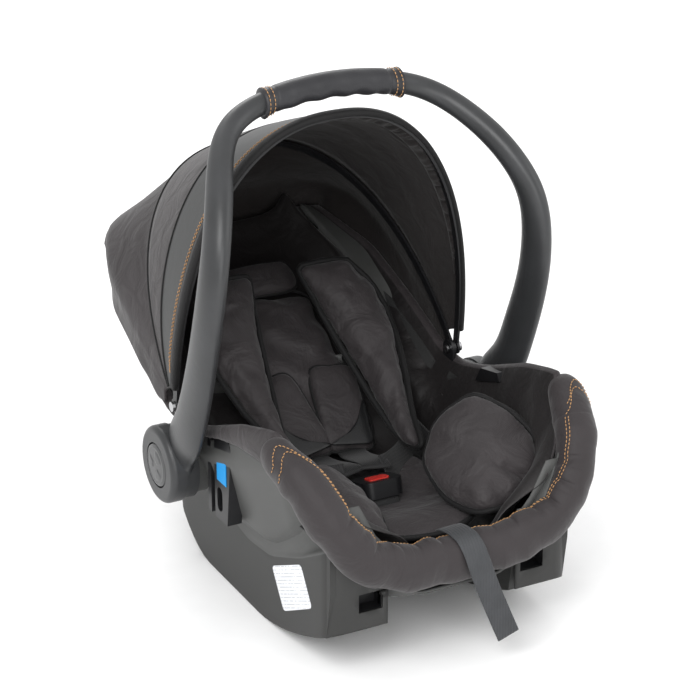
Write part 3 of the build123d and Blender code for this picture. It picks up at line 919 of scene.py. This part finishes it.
def make_facing():
    """A ruched strip of cloth inside the front hoop."""
    rows, cols = 10, 500
    verts = []
    for i in range(rows):
        f = i / (rows - 1)
        for j in range(cols):
            psi = 0.25 + (math.pi - 0.5) * j / (cols - 1)
            ruck = math.sin(psi * 150 + 3 * math.sin(psi * 17)) * 1.3 * (1 - f) * smooth(f * 6)
            ruck += math.sin(psi * 61 + 2 * math.sin(psi * 11)) * 1.8 * math.sin(math.pi * f)
            tilt = lerp(FRONT_TILT + 0.3, FRONT_TILT + 6.5, f)
            x, s = arch(189 - ruck, 337 - ruck - 2 * math.sin(math.pi * f), ARCH_POWER, psi)
            s *= taut_front(tilt)
            verts.append(canopy_at(x, s, tilt))
    facing = piece("canopy_facing", verts, grid_faces(rows, cols), "inside", "front_hoop")
    thicken(facing, 0.8, offset=0)


make_canopy_front()
make_canopy_rear()
make_canopy_trim()
make_hoop_casing()
make_facing()

# ---- cover: lining and front roll ----

# (y, how far the cover's outer hem hangs below the rim)
HEM_DROP = [(-250, 26), (-214, 23), (-183, 13), (-150, 4), (-100, -3), (30, -3), (300, 4)]
# (y, how far the padded top edge stands above the rim)
EDGE_PAD = [(-250, 8), (-210, 13), (-150, 15), (-60, 8), (0, 0)]


def lining_row(y):
    """Half of one cross section of the seat cover, from its outer hem to the middle of the floor."""
    rim_w, rim_z, floor_w, floor_z = shell_at(y)
    floor = floor_z + (27 if y > 20 else 21)
    if y < -235:
        floor = max(floor, lerp(-60, -22, smooth((-235 - y) / 62)))
    if y > 276:
        floor = lerp(floor, rim_z + 7, smooth((y - 276) / 28))
    if y < -236:
        hook = [(rim_w - into, rim_z - drop) for into, drop in ((12, 4), (13, 5), (14, 6), (15, 8))]
    else:
        hem = rim_z - table(HEM_DROP, y)
        pad = table(EDGE_PAD, y)
        hook = [(rim_w + 4.5, hem), (rim_w + 6, lerp(hem, rim_z + 7 + pad, 0.55)),
                (rim_w + 1, rim_z + 10 + pad), (rim_w - 8, rim_z + 8 + pad)]
    out = list(hook)
    out.append((rim_w - 17, max(rim_z - 12 + (hook[3][1] - rim_z) * 0.3, floor + 5)))
    for f in (0.25, 0.5, 0.75, 1.0):
        out.append((lerp(rim_w - 19, floor_w - 16, f), max(lerp(rim_z - 16, floor + 30, f), floor + 3)))
    out += [(floor_w - 24, floor + 14), (floor_w - 38, floor + 4), (floor_w * 0.5, floor + 1)]
    return out + [(floor_w * 0.36, floor), (floor_w * 0.16, floor), (0, floor)]


def make_lining():
    """The loose cover that lines the bowl and wraps over its padded edge."""
    count = 84
    verts = []
    for i in range(count):
        y = lerp(-304, 304, i / (count - 1))
        half = lining_row(y)
        line = [(-x, z) for x, z in half] + [(x, z) for x, z in reversed(half[:-1])]
        for k, (x, z) in enumerate(line):
            inner = 0 if k < 4 or k > len(line) - 5 else 1
            push = wobble((x, y, z), 46, 5.0, 1.3) * inner + wobble((x, y * 0.5, z), 17, 1.6, 4.1) * inner
            hem = 0.0
            if k == 0 or k == len(line) - 1:
                hem = 1.8 * math.sin(y * 0.42)
            side = -math.copysign(1, x) if x else 0
            verts.append(at(x + side * push * 0.7, y, z + push * 0.5 + hem))
    cols = len(line)
    made = piece("cover_lining", verts, grid_faces(count, cols), ["lining", "outer"],
                 "shell", ("seat_cover", "left_cover_flap", "right_cover_flap"))
    for k, face in enumerate(made.data.polygons):
        j = k % (cols - 1)
        face.material_index = 1 if j < 3 or j > cols - 5 else 0
    thicken(made, 2.5)
    subdivide(made)


# centre of the roll from its right end to the middle, and its half depth and half height there
ROLL_PATH = [(184, -216, 102), (181, -240, 100), (172, -272, 86), (158, -301, 55), (139, -316, 22),
             (108, -322, -6), (60, -320, -21), (0, -317, -26)]
ROLL_SIZE = [(14, 17), (20, 22), (23, 25), (23, 26), (22, 26), (21, 26), (21, 27), (21, 27)]
# (share of the roll's length, depth in mm) of each crease across it
CREASES = [(0.20, 3.4), (0.245, 2.6), (0.29, 4.2), (0.345, 3.4), (0.40, 2.8), (0.455, 4.0), (0.53, 3.6),
           (0.575, 2.6), (0.62, 3.6), (0.675, 3.0), (0.72, 4.4), (0.765, 3.4), (0.81, 3.2)]


class Roll:
    """The padded roll round the front rim: u runs from the left shoulder to the right one."""

    def __init__(self):
        left = [(-x, y, z) for x, y, z in ROLL_PATH]
        knots = left + ROLL_PATH[-2::-1]
        sizes = ROLL_SIZE + ROLL_SIZE[-2::-1]
        self.count = 220
        self.line = curve_points(knots, self.count)
        lengths = np.cumsum([0] + [(Vector(b) - Vector(a)).length for a, b in zip(knots, knots[1:])])
        share = lengths / lengths[-1]
        u = np.linspace(0, 1, self.count)
        self.deep = np.interp(u, share, [s[0] for s in sizes])
        self.tall = np.interp(u, share, [s[1] for s in sizes])

    def frame(self, i):
        """Directions square to the roll's line: in towards the seat, and up."""
        n = self.count
        t = (self.line[min(i + 1, n - 1)] - self.line[max(i - 1, 0)]).normalized()
        x = self.line[i].x
        turn = math.pi / 2 * min(1.0, max(0.0, (abs(x) - 80) / 100))
        inward = Vector((-math.copysign(math.sin(turn), x), math.cos(turn), 0))
        inward = (inward - t * inward.dot(t)).normalized()
        up = t.cross(inward)
        if up.z < 0:
            up = -up
        return inward, up

    def point(self, u, v, lift=0.0):
        """u along, v round from the inward side over the top; lift in mm off the surface."""
        i = min(self.count - 1, max(0, int(round(u * (self.count - 1)))))
        inward, up = self.frame(i)
        c, s = math.cos(v), math.sin(v)
        crease = 0.0
        for place, deep in CREASES:
            slant = place + 0.012 * math.sin(place * 40) * (v - 1.2)
            reach = math.exp(-((v - 1.25) / 0.75) ** 2)
            crease += deep * reach * math.exp(-((u - slant) / 0.006) ** 2)
        plump = 1.2 * math.sin(u * 60) * math.sin(v) + wobble((u * 620, 9 * v, 0), 21, 2.2, 8.0)
        grow = lift - crease * 0.8 + plump
        a, b = self.deep[i] + grow, self.tall[i] + grow
        end = min(1.0, math.sqrt(max(0.0, min(u, 1 - u)) / 0.02))
        out = inward * (math.copysign(abs(c) ** 0.9, c) * a * end)
        return at(*(self.line[i] + out + up * (math.copysign(abs(s) ** 0.9, s) * b * end)))

    def normal(self, u, v):
        p = self.point(u, v, 0)
        return (self.point(u, v, 4) - p).normalized()


def make_roll():
    roll = Roll()
    rows, around = 261, 40
    verts = []
    for i in range(rows):
        u = min(max(i / (rows - 1), 0.0004), 0.9996)
        for k in range(around):
            verts.append(roll.point(u, math.tau * k / around))
    made = piece("front_roll", verts, capped_faces(rows, around), "outer", "shell",
                 ("cover_roll",))
    subdivide(made)
    # two rows along the roll, and each row's return over the top and out at both ends
    row_end, row_v = 0.11, 0.86
    lines = []
    for extra in (0.0, 0.16):
        points, normals = [], []
        for i in range(300):
            u = lerp(row_end, 1 - row_end, i / 299)
            v = row_v + extra + 0.03 * math.sin(u * 90)
            points.append(roll.point(u, v, 0.3))
            normals.append(roll.normal(u, v))
        lines.append((points, normals))
        for end in (0, 1):
            across, up = [], []
            for i in range(40):
                v = lerp(row_v + extra, 3.3, i / 39)
                u = row_end - extra * 0.12 - 0.05 * smooth(i / 14) + 0.02 * smooth((i - 14) / 20)
                u = 1 - u if end else u
                across.append(roll.point(u, v, 0.3))
                up.append(roll.normal(u, v))
            lines.append((across, up))
    stitches("roll_stitching", lines, "shell")


make_lining()
make_roll()

# ---- insert pads ----

BACK_TILT = math.radians(37.5)
BACK_Y, BACK_Z = -10.0, -57.0


def on_back(x, run, height):
    """A place on the backrest, in mm: across, up the slope, and off its surface."""
    return (x, BACK_Y + run * math.cos(BACK_TILT) - height * math.sin(BACK_TILT),
            BACK_Z + run * math.sin(BACK_TILT) + height * math.cos(BACK_TILT))


def pad_from_outline(name, outline, thick, place, mat="pad", rings=9, count=64, flat=0.35, power=4.0):
    """A crowned pad inside a closed outline of (u, v); place(u, v, w) gives its spot in mm."""
    rim = curve_points([(u, v, 0) for u, v in outline], count, closed=True)
    centre = sum(rim, Vector()) / count
    verts = []
    shares = [math.sin(math.pi / 2 * (i + 1) / rings) for i in range(rings)]
    for side, crown, part in ((1, thick, shares), (-1, thick * flat, shares[:-1])):
        for r in part:
            h = crown * max(0.0, 1 - r ** power) ** 0.5
            for p in rim:
                q = centre.lerp(p, r)
                verts.append(at(*place(q.x, q.y, side * h)))
        verts.append(at(*place(centre.x, centre.y, side * crown)))
    centre_top = rings * count
    low = centre_top + 1
    centre_low = low + (rings - 1) * count
    edge = (rings - 1) * count
    low_edge = low + (rings - 2) * count
    faces = []
    for j in range(count):
        k = (j + 1) % count
        faces.append((centre_top, j, k))
        faces.append((centre_low, low + k, low + j))
        for a in range(0, edge, count):
            faces.append((a + j, a + count + j, a + count + k, a + k))
        for a in range(low, low_edge, count):
            faces.append((a + k, a + count + k, a + count + j, a + j))
        faces.append((edge + j, low_edge + j, low_edge + k, edge + k))
    return piece(name, verts, faces, mat), [at(*place(p.x, p.y, 0)) for p in rim]


def bound_edge(name, rim, radius=3.8):
    return tube(name, rim, radius, "binding", "shell", 8, closed=True)


def finish_pad(made, node, binding, swollen=None, radius=3.8):
    """Puts a pad in place of its design part, puffs or rounds it, and binds its edge."""
    pad, rim = made
    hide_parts(node)
    if swollen:
        swell(pad, swollen)
    else:
        subdivide(pad)
    return pad, bound_edge(binding, rim, radius)


# Right wing of the insert: its free outer edge and the line where it meets the back, from the top down.
WING_EDGE = [(44, 150, 156), (98, 142, 149), (121, 120, 121), (127, 90, 97), (124, 50, 68),
             (112, 0, 34), (98, -45, 12), (90, -84, -4)]
WING_FOOT = [(34, 146, 142), (38, 122, 116), (46, 88, 84), (56, 46, 48), (66, 4, 14),
             (74, -34, -10), (80, -62, -18), (86, -84, -14)]


def wing_place(u, v, w):
    """The right wing's middle sheet: u across from foot to edge, v down it (0 to 1), w off it in mm."""
    def sheet(a, b):
        b = min(1.0, max(0.0, b)) * (len(WING_EDGE) - 1)
        i = min(int(b), len(WING_EDGE) - 2)
        foot = Vector(WING_FOOT[i]).lerp(Vector(WING_FOOT[i + 1]), b - i)
        edge = Vector(WING_EDGE[i]).lerp(Vector(WING_EDGE[i + 1]), b - i)
        return foot.lerp(edge, a)
    here = sheet(u, v)
    across = sheet(u + 0.05, v) - sheet(u - 0.05, v)
    down = sheet(u, v + 0.06) - sheet(u, v - 0.06)
    off = down.cross(across).normalized()
    if off.y > 0:
        off = -off
    fold = wobble(here, 26, 3.6, 3.3) + 1.4 * math.sin(v * 34 + u * 3) if w > 0 else 0
    return here + off * (w + fold + 6)


def pad_from_rim(name, knots, thick, mat="pad", facing=(0, -0.6, 0.8), **shape):
    """A crowned pad whose edge is a closed curve through 3-D places in mm, bulging along its facing."""
    facing = Vector(facing).normalized()
    side = Vector((1, 0, 0))
    side = (side - facing * side.dot(facing)).normalized()
    up = facing.cross(side)
    centre = sum((Vector(k) for k in knots), Vector()) / len(knots)
    flat = [((Vector(k) - centre).dot(side), (Vector(k) - centre).dot(up)) for k in knots]
    depth = [(Vector(k) - centre).dot(facing) for k in knots]

    def place(u, v, w):
        weights = [1 / ((u - a) ** 2 + (v - b) ** 2 + 60) ** 1.6 for a, b in flat]
        rise = sum(g * d for g, d in zip(weights, depth)) / sum(weights)
        here = centre + side * u + up * v + facing * rise
        return here + facing * (w + (wobble(here, 24, 2.0, 6.1) if w > 0 else 0))

    return pad_from_outline(name, flat, thick, place, mat, **shape)


def make_insert():
    body = [(-66, 30), (-72, 110), (-70, 190), (-58, 246), (0, 256), (58, 246), (70, 190), (72, 110),
            (66, 30), (0, 14)]

    def back_place(u, v, w):
        hollow = 0.0012 * u * u
        fold = 2.6 * math.sin(v * 0.11 + 0.02 * u + 1.5 * math.sin(u * 0.06)) if w > 0 else 0
        return on_back(u, v, 4 + hollow + w + fold + wobble((u, v, 0), 40, 5.0, 2.2))

    made = pad_from_outline("back_pad", body, 15, back_place)
    finish_pad(made, "body_pad", "back_pad_binding", 6, 2.6)

    wing = [(0.04, 0.16), (0.1, 0.02), (0.5, 0.0), (0.94, 0.07), (1.0, 0.2), (1.0, 0.5), (0.98, 0.8),
            (0.85, 0.97), (0.5, 1.0), (0.12, 0.97), (0.0, 0.8), (0.0, 0.5)]
    made = pad_from_outline("right_wing", wing, 17, wing_place)
    pad, edge = finish_pad(made, "right_side_bolster", "right_wing_binding", 8)
    twin = mirror_piece(pad, "left_wing", "shell", ("left_side_bolster",))
    mirror_piece(edge, "left_wing_binding", "shell")

    hip = [(46, -158, 18), (70, -146, 54), (108, -150, 78), (134, -186, 72), (150, -228, 48),
           (134, -262, 16), (96, -276, 2), (56, -270, -6), (40, -224, -8), (40, -186, 2)]
    made = pad_from_rim("right_hip_pad", hip, 20, facing=(-0.62, -0.25, 0.74))
    finish_pad(made, "right_hip_bolster", "right_hip_binding", 8, 3.6)
    # the left hip pad lies flatter and lower than the right one
    low = [(-x - 8, y, z * 0.55 - 6) for x, y, z in hip]
    made = pad_from_rim("left_hip_pad", low, 15, facing=(0.5, -0.25, 0.82))
    finish_pad(made, "left_hip_bolster", "left_hip_binding", 6, 3.6)

    tab = [(-50, -18), (-50, 16), (-20, 22), (20, 22), (50, 16), (50, -18), (0, -22)]
    made = pad_from_outline("pillow_tab_pad", tab, 11, lambda u, v, w: on_back(u, 272 + v, 12 + w))
    finish_pad(made, "pillow_tab", "pillow_tab_binding", None, 2.2)

    def seat_place(u, v, w):
        front = smooth((-60 - v) / 90)
        return (u, -88 + v, -46 + 24 * front + w + 0.0011 * u * u + wobble((u, v, 0), 30, 2.0, 5.0))

    seat = [(-88, -40), (-92, 30), (-60, 62), (0, 66), (60, 62), (92, 30), (88, -40), (76, -120),
            (50, -166), (0, -178), (-50, -166), (-76, -120)]
    made = pad_from_outline("seat_pad_cushion", seat, 9, seat_place)
    finish_pad(made, "seat_pad", "seat_pad_binding", None, 3.6)

    crotch = [(-30, -20), (-32, 14), (0, 22), (32, 14), (30, -20), (0, -26)]
    made = pad_from_outline("crotch_cushion", crotch, 9,
                            lambda u, v, w: (u, -178 + v, -42 + w - 0.12 * v))
    finish_pad(made, "crotch_pad", "crotch_binding", None, 2.6)


def webbing(name, node, knots, count, across, wide, thick=1.7):
    line = [at(*p) for p in curve_points(knots, count)]
    ribbon(name, line, across, wide, thick, "webbing", "shell", (node,))


def make_harness():
    def pad_place(u, v, w):
        turn = math.radians(-8)
        x = 34 + u * math.cos(turn) - v * math.sin(turn)
        run = 72 + u * math.sin(turn) + v * math.cos(turn)
        return on_back(x, run, 24 + w + 0.02 * v)

    def patch_place(u, v, w):
        return pad_place(u, v, 9.8 * (1 - (u / 38) ** 6) + w)

    outline = [(-29, -56), (-31, 0), (-27, 52), (0, 57), (27, 52), (31, 0), (29, -56), (0, -58)]
    made = pad_from_outline("right_shoulder_cushion", outline, 9, pad_place, power=7.0)
    pad, edge = finish_pad(made, "right_shoulder_pad", "right_shoulder_binding", None, 2.2)
    corner = [(-28, -54), (-10, -46), (12, -26), (29, 4), (29.5, -30), (27, -55), (0, -57)]
    patch, _ = pad_from_outline("right_shoulder_patch", corner, 1.4, patch_place, "patch", 5, 48)
    twin = mirror_piece(pad, "left_shoulder_cushion", "shell", ("left_shoulder_pad",))
    mirror_piece(edge, "left_shoulder_binding", "shell")
    mirror_piece(patch, "left_shoulder_patch", "shell")
    down_back = ((34, 190, 10), (36, 150, 16), (36, 90, 20), (32, 40, 22), (24, 8, 26))
    lap = ((126, -18, -22), (104, -34, -26), (74, -58, -28), (44, -84, -24), (26, -96, -20))
    for side, word in SIDES:
        knots = [on_back(side * x, run, height) for x, run, height in down_back]
        knots += [(side * 19, -78, -16), (side * 16, -96, -17)]
        webbing(f"{word}_shoulder_webbing", f"{word}_shoulder_strap", knots, 40, (1, 0, 0), 36)
        knots = [(side * x, y, z) for x, y, z in lap]
        webbing(f"{word}_lap_webbing", f"{word}_lap_strap", knots, 30, (0.3 * side, 0.8, 0.6), 34)
    knots = [(0, -158, -62), (0, -156, -48), (0, -150, -34), (0, -143, -28)]
    webbing("crotch_webbing", "crotch_strap", knots, 14, (1, 0, 0), 34, 1.8)


def make_adjuster_strap():
    """The harness adjuster's webbing, from under the roll over its front and down."""
    knots = [(0, -286, -4), (0, -296, 1.0), (1, -312, 3.8), (3, -328, 1.5), (6, -339, -10),
             (10, -344, -26), (22, -347, -62), (45, -351, -120)]
    wide = 27
    line = [at(*p) for p in curve_points(knots, 60)]
    made = ribbon("adjuster_webbing_tail", line, (1, -0.1, 0.1), wide, 1.7, "adjuster", "shell",
                  ("adjuster_strap",))


GRIP_HALF = 88


def grip_centre(x):
    """Centre line of the grip at x: it follows the handle's bow."""
    q = abs(x) / GRIP_HALF
    return at(x, -9 - 4 * q * q, 431 - 9 * q * q)


def make_grip():
    """The wrapped grip: flared ends, a seam near each and soft folds between them."""
    count, around = 121, 36
    end_radius = 12.6
    verts = []
    for i in range(count):
        x = lerp(-GRIP_HALF, GRIP_HALF, i / (count - 1))
        q = abs(x) / GRIP_HALF
        flare = 2.6 * math.exp(-((1 - q) * GRIP_HALF / 3.0) ** 2) + 0.8 * smooth((q - 0.86) / 0.06)
        seam = 1.0 * math.exp(-((abs(x) - 72) / 1.6) ** 2)
        for k in range(around):
            a = math.tau * k / around
            fold = 0.9 * math.sin(x * 0.21 + 2.0 * math.sin(a + x * 0.02)) * smooth((72 - abs(x)) / 20)
            fold *= 0.5 + 0.5 * math.cos(a - 4.0)
            r = end_radius if i in (0, count - 1) else 15.2 + flare - seam + fold
            verts.append(grip_centre(x) + Vector((0, math.cos(a), math.sin(a))) * r * MM)
    faces = grid_faces(count, around, round_cols=True)
    piece("grip_wrap", verts, faces, "grip", "handle", ("grip_sleeve",))
    rings = []
    for x, radius in ((-84, 16.9), (-77.5, 16.2), (77.5, 16.2), (84, 16.9)):
        normals = [Vector((0, math.cos(math.tau * k / 60), math.sin(math.tau * k / 60))) for k in range(61)]
        rings.append(([grip_centre(x) + n * radius * MM for n in normals], normals))
    stitches("grip_stitching", rings, "handle")


def make_buttons():
    """Hub release buttons with a raised, plain ring-and-petal pattern."""
    for side, word in SIDES:
        rings, around, radius = 26, 72, 26.8
        verts = []
        for i in range(rings):
            f = i / (rings - 1)
            r = radius * math.sin(f * math.pi / 2)
            for k in range(around):
                a = math.tau * k / around
                dome = 2.2 * (1 - f * f)
                petal = 0.9 * smooth((math.cos(3 * a) + 0.2) * 3) * smooth((r - 5) / 2) * smooth((19 - r) / 3)
                ring = 0.6 * math.exp(-((r - 22) / 1.2) ** 2)
                x = 223.4 + dome + petal + ring - 2.5 * smooth((r - 25) / 1.8)
                verts.append(at(side * x, r * math.cos(a), r * math.sin(a)))
        for k in range(around):
            a = math.tau * k / around
            verts.append(at(side * 217.2, radius * math.cos(a), radius * math.sin(a)))
        faces = grid_faces(rings + 1, around, round_cols=True)
        faces.append(tuple(len(verts) - around + k for k in range(around)))
        made = piece(f"{word}_button_cap", verts, faces, "button", f"{word}_release",
                     (f"{word}_release_button",))
        recalc(made.data, weld=True)


def make_springs():
    """Coil springs for the two release buttons and the buckle, in place of the design's springs."""
    wire, turns, steps = 0.7, 3, 108

    def coil(name, node, foot, axis, length, radius, body):
        axis = Vector(axis)
        side = axis.orthogonal().normalized()
        up = axis.cross(side)
        points = []
        for k in range(steps + 1):
            a = math.tau * turns * k / steps
            points.append(foot + (side * math.cos(a) + up * math.sin(a)) * (radius - wire) * MM
                          + axis * lerp(wire, length - wire, k / steps) * MM)
        made = tube(name, points, wire, "steel", body, 8, replaces=(node,))
        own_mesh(made)

    for side, word in SIDES:
        node = f"{word}_release_spring"
        low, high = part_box(node)
        inner = low[0] if side > 0 else high[0]
        middle = Vector((inner, (low[1] + high[1]) / 2, (low[2] + high[2]) / 2))
        coil(f"{word}_release_coil", node, middle, (side, 0, 0), (high[0] - low[0]) / MM, 12.6,
             "handle")
    low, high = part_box("buckle_spring")
    lean = math.radians(16)
    axis = Vector((0, math.sin(lean), math.cos(lean)))
    middle = (Vector(low) + Vector(high)) / 2
    length = 6.6
    coil("buckle_coil", "buckle_spring", middle - axis * length / 2 * MM, axis, length, 3.9,
         "shell")


make_insert()
make_harness()
make_adjuster_strap()
make_grip()
make_buttons()
make_springs()

# ---- finishes of the carried-over design parts ----

# design parts in the base_plastic slot take the darker base copy of the shell plastic, which is painted shade
BY_SLOT = {"shell_plastic": "shell", "base_plastic": "base", "liner_foam": "foam", "handle_plastic": "handle",
           "button_plastic": "button", "steel": "steel", "grip_leatherette": "grip", "black_plastic": "black",
           "outer_fabric": "outer", "lining_fabric": "lining", "pad_fabric": "pad", "webbing": "webbing",
           "adjuster_webbing": "adjuster", "red_plastic": "red", "blue_plastic": "blue",
           "label_film": "label"}
for entry in frame["record"]["subparts"]:
    node = frame["nodes"][entry["node"]]
    for spot in node.material_slots:
        spot.material = MAT[BY_SLOT[entry["material_slot"]]]

# ---- studio ----


def make_studio():
    """A white floor and world, four soft lamps, and a plain view transform."""
    floor_mesh = bpy.data.meshes.new("floor")
    low = cad_box[0][2]
    size = 6.0
    corners = ((-size, -size), (size, -size), (size, size), (-size, size))
    floor_mesh.from_pydata([(x, y, low) for x, y in corners], [], [(0, 1, 2, 3)])
    floor = bpy.data.objects.new("floor", floor_mesh)
    bpy.context.scene.collection.objects.link(floor)
    paper = material("floor_paper", (0.93, 0.93, 0.93), (0.96, 0.96, 0.96), 0.9, specular=0.1)[0]
    floor_mesh.materials.append(paper)
    world = bpy.data.worlds.new("world")
    bpy.context.scene.world = world
    world.use_nodes = True
    sky = world.node_tree.nodes["Background"]
    sky.inputs["Color"].default_value = (1, 1, 1, 1)
    sky.inputs["Strength"].default_value = 0.9
    for name, spot, size, power, aim in (
            ("key", (-1.6, -1.4, 2.2), 1.6, 46, (0, -0.05, 0.3)),
            ("fill", (2.4, -1.6, 1.6), 2.0, 18, (0, 0, 0.3)),
            ("front", (-0.7, -2.6, 1.0), 1.6, 20, (0, 0, 0.3)),
            ("rim", (0.6, 2.2, 2.0), 1.4, 24, (0, 0, 0.35))):
        lamp = bpy.data.lights.new(name, "AREA")
        lamp.size = size
        lamp.energy = power
        obj = bpy.data.objects.new(name, lamp)
        obj.location = spot
        obj.rotation_euler = (Vector(aim) - Vector(spot)).to_track_quat("-Z", "Y").to_euler()
        bpy.context.scene.collection.objects.link(obj)
    bpy.context.scene.view_settings.view_transform = "Standard"


make_studio()
